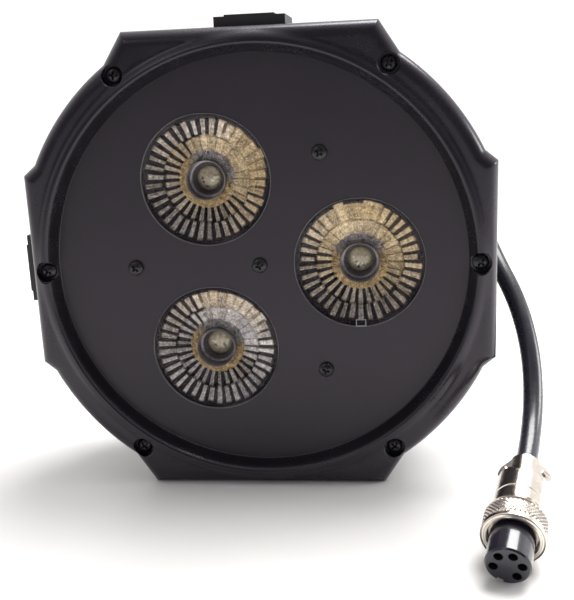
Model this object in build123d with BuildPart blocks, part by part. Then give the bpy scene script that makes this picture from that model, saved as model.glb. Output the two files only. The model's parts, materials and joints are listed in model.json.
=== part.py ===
"""Compact three-lens LED par can head with a five-way screw-lock cable connector.

Millimetres, +Z up. The front of the lamp looks along -Y. The origin is on the resting face, under the
optical axis, in the plane of the two bracket bosses. "Depth" is measured backwards from the crest of the
front ridge, so that a depth d lies at y = ridge_y + d.
"""

from build123d import *
from math import cos, radians, sin
import os

os.makedirs("parts", exist_ok=True)

# ---- Driving dimensions -------------------------------------------------------------------------------
flat_top = 78.5  # optical axis to the upper and lower flats
flat_side = 79.4  # optical axis to the side flats
arc_radius = 83.6  # round stretches of the rim
top_ear_half = 41.7  # half length of the upper and lower flats
side_ear_half = 33.1  # half length of the side flats
top_foot_angle = 54.7  # where the upper and lower ears run into the round rim
side_foot_angle = 25.9  # where the side ears run into the round rim

bezel_back = 9.0
band_depth = 1.2  # flat band between the ridge and the outer edge
outer_chamfer = 2.9
opening_radius = 70.6
ridge_inner, ridge_crest, ridge_outer = 71.2, 73.3, 75.8

panel_depth, panel_thickness = 6.3, 1.5
panel_radius = 72.1
panel_screw_radius = 43.2

lens_orbit = 34.0
lens_radius = 22.2
lens_angles = {"right": 0, "upper": 120, "lower": 240}
board_depth, board_thickness = 28.0, 1.6
heat_sink_radius = 58.0
heat_sink_base, fin_depth = 4.4, 16.0

housing_radius = 75.0
housing_back = 57.0
housing_wall = 2.8
housing_bore = 69.2

boss_width, boss_land = 23.5, 16.5
boss_front, boss_back = 10.0, 34.0
boss_height = 3.9  # how far a boss stands out past the flats
boss_step = 0.5
insert_radius, insert_length = 5.4, 11.0
bracket_thread_radius = 3.35  # M8, minor radius

cable_radius = 3.35
gland_x = 6.0
gland_hex, gland_thread = 11.0, 7.6
plug_radius = 6.55
nut_radius = 9.45
plug_heading, plug_tilt = 14.65, 14.6  # degrees: swing about Z, and the tip's downward tilt
plug_length = 44.0
plug_tip_x, plug_tip_y = 74.85, -85.4

axis_z = flat_top
ridge_y = -(boss_front + boss_back) / 2
optical_axis = Axis((0, ridge_y, axis_z), (0, 1, 0))


def polar(radius, angle):
    """Point at an angle, in degrees, on a circle about the sketch's origin."""
    return (radius * cos(radians(angle)), radius * sin(radians(angle)))


corner_screws = [(44.8 * sx, 64.8 * sz) for sx in (1, -1) for sz in (1, -1)]
side_screws = [(73.9, 0), (-73.9, 0)]
bezel_screw_places = corner_screws + side_screws
outer_posts = [polar(panel_screw_radius, angle) for angle in (180, 60, 300)]
post_places = [(0, 0)] + outer_posts
lens_places = {name: polar(lens_orbit, angle) for name, angle in lens_angles.items()}


def face(depth):
    """Plane at a depth, seen from the front: local x is X, local y is Z, and extrusion runs forwards."""
    return Plane(origin=(0, ridge_y + depth, axis_z), x_dir=(1, 0, 0), z_dir=(0, -1, 0))


def half_section(centre=(0, 0)):
    """Horizontal plane through an axis parallel to Y: local x is the radius and local y is the depth."""
    return Plane(origin=(centre[0], ridge_y, axis_z + centre[1]))


def parallel_axis(centre):
    """Axis along Y through a point of the face."""
    return Axis((centre[0], ridge_y, axis_z + centre[1]), (0, 1, 0))


def finish_part(builder, name):
    """Labels a finished piece and writes its STEP file."""
    builder.part.label = name
    export_step(builder.part, f"parts/{name}.step")


def turned(name, profile, centre=(0, 0)):
    """Piece of revolution about an axis along Y. The profile is a closed list of (radius, depth)."""
    with BuildPart() as piece:
        with BuildSketch(half_section(centre)):
            with BuildLine():
                Polyline(*profile, close=True)
            make_face()
        revolve(axis=parallel_axis(centre))
    finish_part(piece, name)


# ---- Outlines -----------------------------------------------------------------------------------------
with BuildSketch() as rim_outline:
    with BuildLine():
        side_foot = polar(arc_radius, side_foot_angle)
        top_foot = polar(arc_radius, top_foot_angle)
        Line((flat_side, 0), (flat_side, side_ear_half))
        Line((flat_side, side_ear_half), side_foot)
        ThreePointArc(side_foot, polar(arc_radius, (side_foot_angle + top_foot_angle) / 2), top_foot)
        Line(top_foot, (top_ear_half, flat_top))
        Line((top_ear_half, flat_top), (0, flat_top))
        mirror(about=Plane.YZ)
        mirror(about=Plane.XZ)
    make_face()

with BuildSketch() as housing_outline:
    Circle(housing_radius)
    with BuildLine():
        ear_side = (top_ear_half + 6.8, flat_top - 11.2)
        Line((0, flat_top), (top_ear_half, flat_top))
        Line((top_ear_half, flat_top), ear_side)
        Line(ear_side, (ear_side[0] - 1.5, 40))
        Line((ear_side[0] - 1.5, 40), (ear_side[0] - 1.5, 0))
        mirror(about=Plane.YZ)
        mirror(about=Plane.XZ)
    make_face()

# ---- Front bezel --------------------------------------------------------------------------------------
pocket_radius, pocket_floor, clearance_hole = 3.5, 5.2, 1.7

with BuildPart() as front_bezel:
    with BuildSketch(face(bezel_back)):
        add(rim_outline.sketch)
    extrude(amount=bezel_back - band_depth)
    chamfer(front_bezel.faces().sort_by(Axis.Y)[0].outer_wire().edges(), length=outer_chamfer)
    with BuildSketch(face(bezel_back)):
        Circle(opening_radius)
    extrude(amount=bezel_back, mode=Mode.SUBTRACT)
    with BuildSketch(half_section()):
        with BuildLine():
            Polyline((opening_radius, panel_depth), (opening_radius + 0.3, 2.0), (ridge_inner, 1.2))
            ThreePointArc((ridge_inner, 1.2), (ridge_inner + 0.65, 0.32), (ridge_crest, 0))
            ThreePointArc((ridge_crest, 0), (ridge_crest + 1.5, 0.4), (ridge_outer, band_depth))
            Polyline(
                (ridge_outer, band_depth), (ridge_outer, panel_depth), (opening_radius, panel_depth)
            )
        make_face()
    revolve(axis=optical_axis)
    with BuildSketch(face(bezel_back)):
        Circle(panel_radius + 0.2)
    extrude(amount=bezel_back - panel_depth, mode=Mode.SUBTRACT)
    with BuildSketch(face(pocket_floor)):
        with Locations(*bezel_screw_places):
            Circle(pocket_radius)
    extrude(amount=pocket_floor + 1, mode=Mode.SUBTRACT)
    with BuildSketch(face(bezel_back)):
        with Locations(*bezel_screw_places):
            Circle(clearance_hole)
    extrude(amount=bezel_back, mode=Mode.SUBTRACT)
finish_part(front_bezel, "front_bezel")


def pan_head_screws(name, places, seat, shank_end, head_radius=2.75, head_height=2.0, towards=1):
    """Group of cross-recessed pan-head screws along Y. Heads face the front if towards is 1, or the back."""
    with BuildPart() as screws:
        for x, z in places:
            top = seat - towards * head_height
            with BuildSketch(half_section((x, z))):
                with BuildLine():
                    Polyline(
                        (0, shank_end),
                        (1.45, shank_end),
                        (1.45, seat),
                        (head_radius, seat),
                        (head_radius, seat - towards * 0.45 * head_height),
                        (head_radius * 0.65, top),
                        (0, top),
                        close=True,
                    )
                make_face()
            revolve(axis=parallel_axis((x, z)))
            recess = Plane(
                origin=(x, ridge_y + top, axis_z + z), x_dir=(1, 0, 0), z_dir=(0, -towards, 0)
            )
            with BuildSketch(recess):
                Rectangle(head_radius * 1.1, 0.6, rotation=35)
                Rectangle(0.6, head_radius * 1.1, rotation=35)
            extrude(amount=-1.0, mode=Mode.SUBTRACT)
    finish_part(screws, name)


pan_head_screws("bezel_screws", bezel_screw_places, pocket_floor, 16.0)

# ---- Front panel, its gasket and screws ---------------------------------------------------------------
with BuildPart() as front_panel:
    with BuildSketch(face(panel_depth + panel_thickness)):
        Circle(panel_radius)
        with Locations(*lens_places.values()):
            Circle(lens_radius + 0.15, mode=Mode.SUBTRACT)
        with Locations(*post_places):
            Circle(clearance_hole, mode=Mode.SUBTRACT)
    extrude(amount=panel_thickness)
finish_part(front_panel, "front_panel")

panel_back = panel_depth + panel_thickness
turned(
    "panel_gasket",
    [(69.4, panel_back), (72.0, panel_back), (72.0, bezel_back), (69.4, bezel_back)],
)
pan_head_screws("panel_screws", post_places, panel_depth, 15.0, head_radius=2.6, head_height=1.8)

# ---- Lenses, holders and emitters ---------------------------------------------------------------------
lens_front = panel_depth - 0.2
lens_profile_well = [(0, 13.2), (3.2, 13.8), (5.2, 15.0), (5.9, 14.2), (6.4, lens_front)]
lens_profile_rim = [(lens_radius, lens_front), (lens_radius, panel_back), (23.4, panel_back), (23.4, 9.2)]
lens_profile_cone = [(21.6, 9.4), (18.8, 14.0), (14.6, 19.5), (9.6, 24.4), (6.8, 26.5)]
lens_profile_cup = [(3.4, 26.5), (3.2, 19.5), (0, 18.6)]
lens_profile = lens_profile_well + lens_profile_rim + lens_profile_cone + lens_profile_cup
holder_profile = [
    (23.6, panel_back),
    (24.6, panel_back),
    (24.6, 11.0),
    (11.4, board_depth),
    (7.4, board_depth),
    (7.4, 26.8),
    (10.2, 24.9),
    (15.2, 20.0),
    (19.4, 14.5),
    (22.3, 9.8),
    (23.6, 9.6),
]
emitter_profile = [(0, board_depth), (3.0, board_depth), (3.0, 26.9), (2.2, 26.6), (1.6, 25.2), (0, 24.6)]
for where, place in lens_places.items():
    turned(f"lens_{where}", lens_profile, place)
    turned(f"lens_holder_{where}", holder_profile, place)
    turned(f"led_emitter_{where}", emitter_profile, place)

# ---- Posts, board, heat sink --------------------------------------------------------------------------
with BuildPart() as panel_posts:
    with BuildSketch(face(board_depth)):
        with Locations(*post_places):
            RegularPolygon(3.4, 6)
            Circle(1.5, mode=Mode.SUBTRACT)
    extrude(amount=board_depth - panel_back)
finish_part(panel_posts, "panel_posts")

board_back = board_depth + board_thickness
with BuildPart() as led_board:
    with BuildSketch(face(board_back)):
        Circle(heat_sink_radius - 2)
        with Locations(*outer_posts):
            Circle(clearance_hole, mode=Mode.SUBTRACT)
    extrude(amount=board_thickness)
finish_part(led_board, "led_board")

sink_back = board_back + heat_sink_base
fin_pitch, fin_width = 8.0, 1.7
cable_bay = 32.0  # square space left in the fins behind the cable gland
with BuildPart() as heat_sink:
    with BuildSketch(face(sink_back)):
        Circle(heat_sink_radius)
    extrude(amount=heat_sink_base)
    with BuildSketch(face(sink_back + fin_depth)):
        with GridLocations(fin_pitch, 0, 14, 1):
            Rectangle(fin_width, 2 * heat_sink_radius)
        Circle(heat_sink_radius - 1, mode=Mode.INTERSECT)
        with Locations((gland_x, 0)):
            Rectangle(cable_bay, cable_bay, mode=Mode.SUBTRACT)
        with Locations(*outer_posts):
            Circle(4.2, mode=Mode.SUBTRACT)
    extrude(amount=fin_depth + 0.5)
    with BuildSketch(face(sink_back)):
        with Locations(*outer_posts):
            Circle(clearance_hole)
    extrude(amount=heat_sink_base, mode=Mode.SUBTRACT)
finish_part(heat_sink, "heat_sink")
pan_head_screws("heat_sink_screws", outer_posts, sink_back, 20.0, towards=-1)

# ---- Rear housing and its bracket bosses --------------------------------------------------------------
lug_radius, lug_back = 4.2, 17.0
screw_hole_back = 22.0
boss_root = 71.0  # distance from the axis at which the bosses merge into the wall
boss_top = flat_top + boss_height
boss_side = flat_side + boss_height
vent_heights = [sign * (22 + 7 * row) for sign in (1, -1) for row in range(4)]
vent_width = 3.2


def vent_length(height):
    """Overall length of the slot at a height, so that the rows fill a disc."""
    return 2 * (54**2 - height**2) ** 0.5


insert_planes = {
    "top": Plane(origin=(0, 0, axis_z + boss_top), z_dir=(0, 0, 1)),
    "side": Plane(origin=(-boss_side, 0, axis_z), z_dir=(-1, 0, 0)),
}

with BuildPart() as rear_housing:
    with BuildSketch(face(housing_back)):
        add(housing_outline.sketch)
    extrude(amount=housing_back - bezel_back)
    chamfer(rear_housing.faces().sort_by(Axis.Y)[-1].outer_wire().edges(), length=5)
    with BuildSketch(face(lug_back)):
        with Locations(*side_screws):
            Circle(lug_radius)
    extrude(amount=lug_back - bezel_back)
    with BuildSketch(face(boss_back)):
        for width, step in ((boss_width, boss_step), (boss_land, 0)):
            top_height = boss_top - step - boss_root
            side_height = boss_side - step - boss_root
            with Locations((0, boss_root + top_height / 2)):
                Rectangle(width, top_height)
            with Locations((-boss_root - side_height / 2, 0)):
                Rectangle(side_height, width)
    extrude(amount=boss_back - boss_front)
    with BuildSketch(face(housing_back - housing_wall)):
        Circle(housing_bore)
    extrude(amount=housing_back - housing_wall - bezel_back, mode=Mode.SUBTRACT)
    with BuildSketch(face(screw_hole_back)):
        with Locations(*bezel_screw_places):
            Circle(1.5)
    extrude(amount=screw_hole_back - bezel_back, mode=Mode.SUBTRACT)
    with BuildSketch(face(housing_back)):
        with Locations((gland_x, 0)):
            Circle(gland_thread + 0.15)
        for height in vent_heights:
            with Locations((0, height)):
                SlotOverall(vent_length(height), vent_width)
    extrude(amount=housing_wall, mode=Mode.SUBTRACT)
    for plane in insert_planes.values():
        with BuildSketch(plane):
            Circle(insert_radius)
        extrude(amount=-insert_length, mode=Mode.SUBTRACT)
finish_part(rear_housing, "rear_housing")

for where, plane in insert_planes.items():
    with BuildPart() as insert:
        with BuildSketch(plane.offset(-0.2)):
            Circle(insert_radius)
            Circle(bracket_thread_radius, mode=Mode.SUBTRACT)
        extrude(amount=0.2 - insert_length)
    finish_part(insert, f"bracket_insert_{where}")

# ---- Cable gland on the back --------------------------------------------------------------------------
wall_inside = housing_back - housing_wall
lock_nut_back = wall_inside - 4.5
body_hex_back = housing_back + 5.0
body_end = body_hex_back + 8.0
gland_front = 46.0  # inner end of the gland's thread
cap_start, cap_end = body_hex_back + 0.5, 78.0
boot_end = 96.0
sheath_bore = cable_radius + 0.1
gland_place = (gland_x, 0)

with BuildPart() as gland_body:
    with BuildSketch(face(body_hex_back)):
        with Locations(gland_place):
            RegularPolygon(gland_hex, 6)
    extrude(amount=body_hex_back - housing_back)
    with BuildSketch(face(body_end)):
        with Locations(gland_place):
            Circle(gland_thread)
    extrude(amount=body_end - gland_front)
    with BuildSketch(face(body_end)):
        with Locations(gland_place):
            Circle(sheath_bore + 0.6)
    extrude(amount=body_end - gland_front, mode=Mode.SUBTRACT)
finish_part(gland_body, "gland_body")

with BuildPart() as gland_lock_nut:
    with BuildSketch(face(wall_inside)):
        with Locations(gland_place):
            RegularPolygon(gland_hex, 6)
            Circle(gland_thread + 0.05, mode=Mode.SUBTRACT)
    extrude(amount=wall_inside - lock_nut_back)
finish_part(gland_lock_nut, "gland_lock_nut")

seal_start, seal_end = body_end + 0.1, cap_end - 2.2
turned(
    "gland_seal",
    [(sheath_bore, seal_start), (7.2, seal_start), (5.9, seal_end), (sheath_bore, seal_end)],
    gland_place,
)
cap_bore = gland_thread + 0.1
turned(
    "gland_cap",
    [
        (cap_bore, cap_start),
        (10.2, cap_start),
        (10.4, cap_start + 1),
        (10.4, cap_end - 5),
        (9.0, cap_end - 1.5),
        (7.8, cap_end),
        (6.0, cap_end),
        (6.0, cap_end - 2.0),
        (cap_bore, cap_end - 4.0),
    ],
    gland_place,
)
turned(
    "strain_relief",
    [
        (sheath_bore, cap_end - 2.0),
        (5.8, cap_end - 2.0),
        (5.8, cap_end + 1.0),
        (4.3, boot_end - 1.0),
        (4.0, boot_end),
        (sheath_bore, boot_end),
    ],
    gland_place,
)
head_end_start = 47.0
turned(
    "cable_head_end",
    [(0, head_end_start), (cable_radius, head_end_start), (cable_radius, boot_end), (0, boot_end)],
    gland_place,
)

# ---- Inner wiring: terminal block and cores -----------------------------------------------------------
core_radius = 0.6
core_pitch_cable, core_pitch_block = 1.35, 3.8
block_end = 40.0
block_socket_depth = 3.0
with BuildPart() as terminal_block:
    with BuildSketch(face(block_end)):
        with Locations(gland_place):
            Rectangle(20.6, 10)
    extrude(amount=block_end - sink_back)
    with BuildSketch(face(block_end)):
        with Locations(gland_place):
            with GridLocations(core_pitch_block, 0, 5, 1):
                Circle(1.5)
    extrude(amount=block_socket_depth, mode=Mode.SUBTRACT)
finish_part(terminal_block, "terminal_block")

with BuildPart() as inner_cores:
    for slot in range(-2, 3):
        start = Vector(gland_x + core_pitch_cable * slot, ridge_y + head_end_start, axis_z)
        end = Vector(gland_x + core_pitch_block * slot, ridge_y + block_end - 1.0, axis_z)
        with BuildLine() as core_line:
            Spline(start, end, tangents=((0, -1, 0), (0, -1, 0)))
        with BuildSketch(Plane(origin=start, z_dir=(0, -1, 0))):
            Circle(core_radius)
        sweep(path=core_line.wires()[0])
finish_part(inner_cores, "inner_cores")

# ---- Cable connector ----------------------------------------------------------------------------------
plug_axis = Vector(
    sin(radians(plug_heading)) * cos(radians(plug_tilt)),
    cos(radians(plug_heading)) * cos(radians(plug_tilt)),
    sin(radians(plug_tilt)),
)
plug_side = Vector(cos(radians(plug_heading)), -sin(radians(plug_heading)), 0)
plug_tip = Vector(plug_tip_x, plug_tip_y, plug_radius * cos(radians(plug_tilt)) + 0.05)


def plug_plane(distance):
    """Plane across the connector at a distance behind its tip. Local x is level and local y points down."""
    return Plane(origin=plug_tip + plug_axis * distance, x_dir=plug_side, z_dir=plug_axis)


plug_up = plug_side.cross(plug_axis)


def plug_turned(name, profile):
    """Piece of revolution about the connector's axis. The profile is a closed list of (radius, distance)."""
    with BuildPart() as piece:
        with BuildSketch(Plane(origin=plug_tip, x_dir=plug_side, z_dir=plug_up)):
            with BuildLine():
                Polyline(*profile, close=True)
            make_face()
        revolve(axis=Axis(plug_tip, plug_axis))
    finish_part(piece, name)


socket_circle = 4.05
key_angle = 112.0
socket_places = [polar(socket_circle, key_angle + 60 * step) for step in range(1, 6)]
insert_shoulder, insert_end = 12.0, 19.0
socket_bore, key_length = 1.35, 9.0
socket_recess = 4.0
barrel_radius = 6.6
core_bore = 5.5

with BuildPart() as plug_insert:
    with BuildSketch(plug_plane(0)):
        Circle(plug_radius)
    extrude(amount=insert_shoulder)
    with BuildSketch(plug_plane(insert_shoulder)):
        Circle(core_bore)
    extrude(amount=insert_end - insert_shoulder)
    chamfer(plug_insert.faces().sort_by(Axis.Y)[0].outer_wire().edges(), length=0.5)
    with BuildSketch(plug_plane(0)):
        with Locations(*socket_places):
            Circle(socket_bore)
    extrude(amount=insert_end, mode=Mode.SUBTRACT)
    with BuildSketch(plug_plane(0)):
        with Locations(polar(plug_radius, key_angle)):
            Rectangle(2.6, 2.0, rotation=key_angle)
    extrude(amount=key_length, mode=Mode.SUBTRACT)
finish_part(plug_insert, "plug_insert")

with BuildPart() as plug_sockets:
    with BuildSketch(plug_plane(socket_recess)):
        with Locations(*socket_places):
            Circle(socket_bore - 0.05)
            Circle(0.85, mode=Mode.SUBTRACT)
    extrude(amount=insert_end + 0.2 - socket_recess)
finish_part(plug_sockets, "plug_sockets")

collar_front, collar_back, collar_radius = 12.8, 14.4, 7.2
tail_front, tail_radius = 22.0, 7.5
tail_groove = 26.0
jaw_front, jaw_radius = 36.8, 5.2
notch_radius, notch_floor = 3.7, 4.3
shell_profile = [
    (core_bore + 0.1, insert_shoulder + 0.1),
    (barrel_radius, insert_shoulder + 0.1),
    (barrel_radius, collar_front),
    (collar_radius, collar_front),
    (collar_radius, collar_back),
    (barrel_radius, collar_back),
    (barrel_radius, tail_front),
    (tail_radius, tail_front),
    (tail_radius, tail_groove),
    (tail_radius - 0.4, tail_groove + 0.2),
    (tail_radius - 0.4, tail_groove + 0.6),
    (tail_radius, tail_groove + 0.8),
    (tail_radius, jaw_front - 1.6),
    (tail_radius - 1.6, jaw_front),
    (sheath_bore, jaw_front),
    (sheath_bore, jaw_front - 3.4),
    (core_bore + 0.1, jaw_front - 7.0),
]
with BuildPart() as plug_shell:
    with BuildSketch(Plane(origin=plug_tip, x_dir=plug_side, z_dir=plug_up)):
        with BuildLine():
            Polyline(*shell_profile, close=True)
        make_face()
    revolve(axis=Axis(plug_tip, plug_axis))
    notch_foot = plug_tip + plug_axis * jaw_front + plug_up * notch_floor
    with BuildSketch(Plane(origin=notch_foot, x_dir=plug_side, z_dir=plug_up)):
        Circle(notch_radius)
    extrude(amount=tail_radius, mode=Mode.SUBTRACT)
finish_part(plug_shell, "plug_shell")

washer_front, washer_back = 14.55, 15.15
washer_bore, washer_radius = barrel_radius + 0.1, 7.15
plug_turned(
    "nut_washer",
    [
        (washer_bore, washer_front),
        (washer_radius, washer_front),
        (washer_radius, washer_back),
        (washer_bore, washer_back),
    ],
)

nut_front, flange_front, nut_back = 10.7, 15.3, 19.5
nut_bore = 7.4
flange_bore = barrel_radius + 0.1
plug_turned(
    "coupling_nut",
    [
        (nut_bore + 0.6, nut_front),
        (nut_radius - 0.7, nut_front),
        (nut_radius - 0.2, nut_front + 0.4),
        (nut_radius - 0.2, nut_front + 2.2),
        (nut_radius - 0.6, nut_front + 2.5),
        (nut_radius, nut_front + 3.0),
        (nut_radius, nut_back - 1.0),
        (nut_radius - 0.8, nut_back),
        (flange_bore, nut_back),
        (flange_bore, flange_front),
        (nut_bore, flange_front),
        (nut_bore, nut_front + 0.8),
    ],
)

jaw_gap = 0.5
ear_thickness, ear_radius, ear_length = 1.4, 2.5, 3.9
ear_distance = (jaw_front + plug_length) / 2
ear_screw_radius = 0.8


def ear_plane(side, height):
    """Plane of a clamp ear that slopes down at 45 degrees: local x runs outwards, and height is its distance
    from the connector's axis."""
    normal = (plug_side * side + plug_up).normalized()
    outwards = (plug_side * side - plug_up).normalized()
    origin = plug_tip + plug_axis * ear_distance + normal * height
    return Plane(origin=origin, x_dir=outwards, z_dir=normal)


jaw_ear_top = jaw_radius - ear_thickness - jaw_gap
jaw_ear_root = 3.4  # where the lower ears grow out of the jaw
screw_reach = jaw_radius - (jaw_ear_top - ear_thickness)


with BuildPart() as plug_clamp_saddle:
    with BuildSketch(plug_plane(jaw_front + 0.1)):
        Circle(jaw_radius)
        Circle(sheath_bore, mode=Mode.SUBTRACT)
        with Locations((0, 10 - jaw_gap / 2)):
            Rectangle(20, 20, mode=Mode.SUBTRACT)
    extrude(amount=plug_length - jaw_front - 0.1)
    for side in (1, -1):
        with BuildSketch(ear_plane(side, jaw_radius)):
            with Locations((ear_length / 2, 0)):
                Rectangle(ear_length, 2 * ear_radius)
            with Locations((ear_length, 0)):
                Circle(ear_radius)
        extrude(amount=-ear_thickness)
        with BuildSketch(ear_plane(side, jaw_radius)):
            with Locations((ear_length, 0)):
                Circle(ear_screw_radius + 0.05)
        extrude(amount=-screw_reach, mode=Mode.SUBTRACT)
finish_part(plug_clamp_saddle, "plug_clamp_saddle")

with BuildPart() as plug_clamp_jaw:
    with BuildSketch(plug_plane(jaw_front + 0.1)):
        Circle(jaw_radius)
        Circle(sheath_bore, mode=Mode.SUBTRACT)
        with Locations((0, -10 + jaw_gap / 2)):
            Rectangle(20, 20, mode=Mode.SUBTRACT)
    extrude(amount=plug_length - jaw_front - 0.1)
    for side in (1, -1):
        with BuildSketch(ear_plane(side, jaw_ear_top)):
            with Locations((ear_length, 0)):
                Circle(ear_radius)
            with Locations((jaw_ear_root - ear_radius, 0)):
                Rectangle(2 * ear_radius, 2 * ear_radius, mode=Mode.SUBTRACT)
        extrude(amount=-ear_thickness)
        with BuildSketch(ear_plane(side, jaw_radius)):
            with Locations((ear_length, 0)):
                Circle(ear_screw_radius + 0.05)
        extrude(amount=-screw_reach, mode=Mode.SUBTRACT)
finish_part(plug_clamp_jaw, "plug_clamp_jaw")

clamp_head_radius, clamp_head_height = 1.4, 0.5
with BuildPart() as plug_clamp_screws:
    for side in (1, -1):
        with BuildSketch(ear_plane(side, jaw_radius + clamp_head_height)):
            with Locations((ear_length, 0)):
                Circle(clamp_head_radius)
        extrude(amount=-clamp_head_height)
        with BuildSketch(ear_plane(side, jaw_radius)):
            with Locations((ear_length, 0)):
                Circle(ear_screw_radius)
        extrude(amount=-screw_reach)
        with BuildSketch(ear_plane(side, jaw_radius + clamp_head_height)):
            with Locations((ear_length, 0)):
                Rectangle(2.4, 0.4)
        extrude(amount=-0.3, mode=Mode.SUBTRACT)
finish_part(plug_clamp_screws, "plug_clamp_screws")

plug_end_start = 28.0
plug_turned(
    "cable_plug_end",
    [
        (0, plug_end_start),
        (cable_radius, plug_end_start),
        (cable_radius, plug_length),
        (0, plug_length),
    ],
)

# ---- Free cable ---------------------------------------------------------------------------------------
plug_entry = plug_tip + plug_axis * plug_length
last_run = 14.0
cable_points = [
    (gland_x, ridge_y + boot_end, axis_z),
    (6.0, 99.5, 78.5),
    (21.5, 119.5, 81.0),
    (45.0, 127.5, 84.0),
    (68.5, 119.5, 87.0),
    (83.5, 99.5, 89.0),
    (82.5, 75.0, 89.5),
    (80.0, 54.0, 88.0),
    (79.3, 36.0, 83.0),
    (82.5, 20.0, 73.0),
    (89.5, 6.5, 59.0),
    (92.5, -6.0, 44.5),
    (92.2, -16.5, 31.0),
    plug_entry + plug_axis * last_run,
    plug_entry,
]
route = [Vector(point) for point in cable_points]
bend_radii = []
for before, corner, after in zip(route, route[1:], route[2:]):
    incoming, outgoing = corner - before, after - corner
    turn = radians(incoming.get_angle(outgoing))
    shorter = min(incoming.length, outgoing.length)
    bend_radii.append(0.45 * shorter * cos(turn / 2) / sin(turn / 2))
print("bend radii", [round(radius, 1) for radius in bend_radii])

with BuildPart() as cable:
    with BuildLine() as cable_line:
        FilletPolyline(*route, radius=bend_radii)
    with BuildSketch(Plane(origin=route[0], z_dir=(route[1] - route[0]).normalized())):
        Circle(cable_radius)
    sweep(path=cable_line.wires()[0])
section_area = 3.14159265 * cable_radius**2
cable_length = cable_line.wires()[0].length
print("cable length", round(cable_length, 1), "volume ratio", cable.part.volume / (section_area * cable_length))
finish_part(cable, "cable")
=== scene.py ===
import json
import math
import random

import bmesh
import bpy
import numpy as np
from mathutils import Euler, Matrix, Vector


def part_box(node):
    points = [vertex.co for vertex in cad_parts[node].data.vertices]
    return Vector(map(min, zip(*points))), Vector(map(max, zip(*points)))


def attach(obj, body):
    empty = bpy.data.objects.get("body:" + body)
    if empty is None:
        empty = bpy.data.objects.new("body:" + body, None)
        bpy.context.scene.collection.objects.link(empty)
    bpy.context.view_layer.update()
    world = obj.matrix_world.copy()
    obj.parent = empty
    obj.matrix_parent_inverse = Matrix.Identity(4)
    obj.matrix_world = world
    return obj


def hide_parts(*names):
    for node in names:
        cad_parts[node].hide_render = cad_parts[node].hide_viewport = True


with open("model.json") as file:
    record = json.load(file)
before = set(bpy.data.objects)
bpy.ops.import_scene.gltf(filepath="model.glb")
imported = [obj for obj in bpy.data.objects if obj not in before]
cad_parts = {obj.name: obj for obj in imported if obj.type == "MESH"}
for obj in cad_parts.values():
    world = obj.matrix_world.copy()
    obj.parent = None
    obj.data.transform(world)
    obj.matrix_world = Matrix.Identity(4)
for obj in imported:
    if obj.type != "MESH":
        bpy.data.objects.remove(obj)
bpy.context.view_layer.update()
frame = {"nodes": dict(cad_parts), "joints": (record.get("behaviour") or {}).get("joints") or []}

MM = 0.001
HEAD = "lamp_head"
NUT = "nut_body"
DEPTH_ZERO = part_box("front_bezel")[0].y / MM  # y of the ridge's crest
AXIS_Z = (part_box("front_panel")[0].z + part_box("front_panel")[1].z) / 2 / MM
JOINTS = {joint["name"]: joint for joint in frame["joints"]}
PLUG_TIP = Vector(JOINTS["nut_spin"]["pos_m"])
PLUG_AXIS = Vector(JOINTS["nut_spin"]["axis"]).normalized()
PLUG_SIDE = Vector((PLUG_AXIS.y, -PLUG_AXIS.x, 0)).normalized()
PLUG_UP = PLUG_SIDE.cross(PLUG_AXIS)

# ---- Camera -------------------------------------------------------------------------------------------
camera_data = bpy.data.cameras.new("camera")
camera_data.lens = 54.0
camera_data.sensor_width = 36.0
camera_data.clip_start = 0.01
camera_data.clip_end = 20.0
camera = bpy.data.objects.new("camera", camera_data)
bpy.context.scene.collection.objects.link(camera)
# The place and angles are rounded from a fit to the photo, made outside this script.
CAMERA_PLACE = Vector((43.1, DEPTH_ZERO - 291.94, AXIS_Z + 60.68)) * MM
CAMERA_TILT, CAMERA_LEAN, CAMERA_TURN = (math.radians(angle) for angle in (76.3191, 2.4404, 5.9617))
camera_turned = Euler((CAMERA_TILT, CAMERA_LEAN, CAMERA_TURN))
camera.matrix_world = Matrix.LocRotScale(CAMERA_PLACE, camera_turned, None)
bpy.context.scene.camera = camera


# ---- Materials ----------------------------------------------------------------------------------------
def node_material(name):
    """Empty node material with its Principled shader, returned with a function that adds nodes."""
    material = bpy.data.materials.new(name)
    material.use_nodes = True
    tree = material.node_tree
    shader = tree.nodes["Principled BSDF"]

    def add(kind, **values):
        node = tree.nodes.new(kind)
        for key, value in values.items():
            if hasattr(node, key):
                setattr(node, key, value)
            else:
                node.inputs[key.replace("_", " ")].default_value = value
        return node

    return material, tree, shader, add


def set_sockets(shader, values):
    """Values of the shader's inputs, by their names."""
    for key, value in values.items():
        shader.inputs[key].default_value = value


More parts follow.
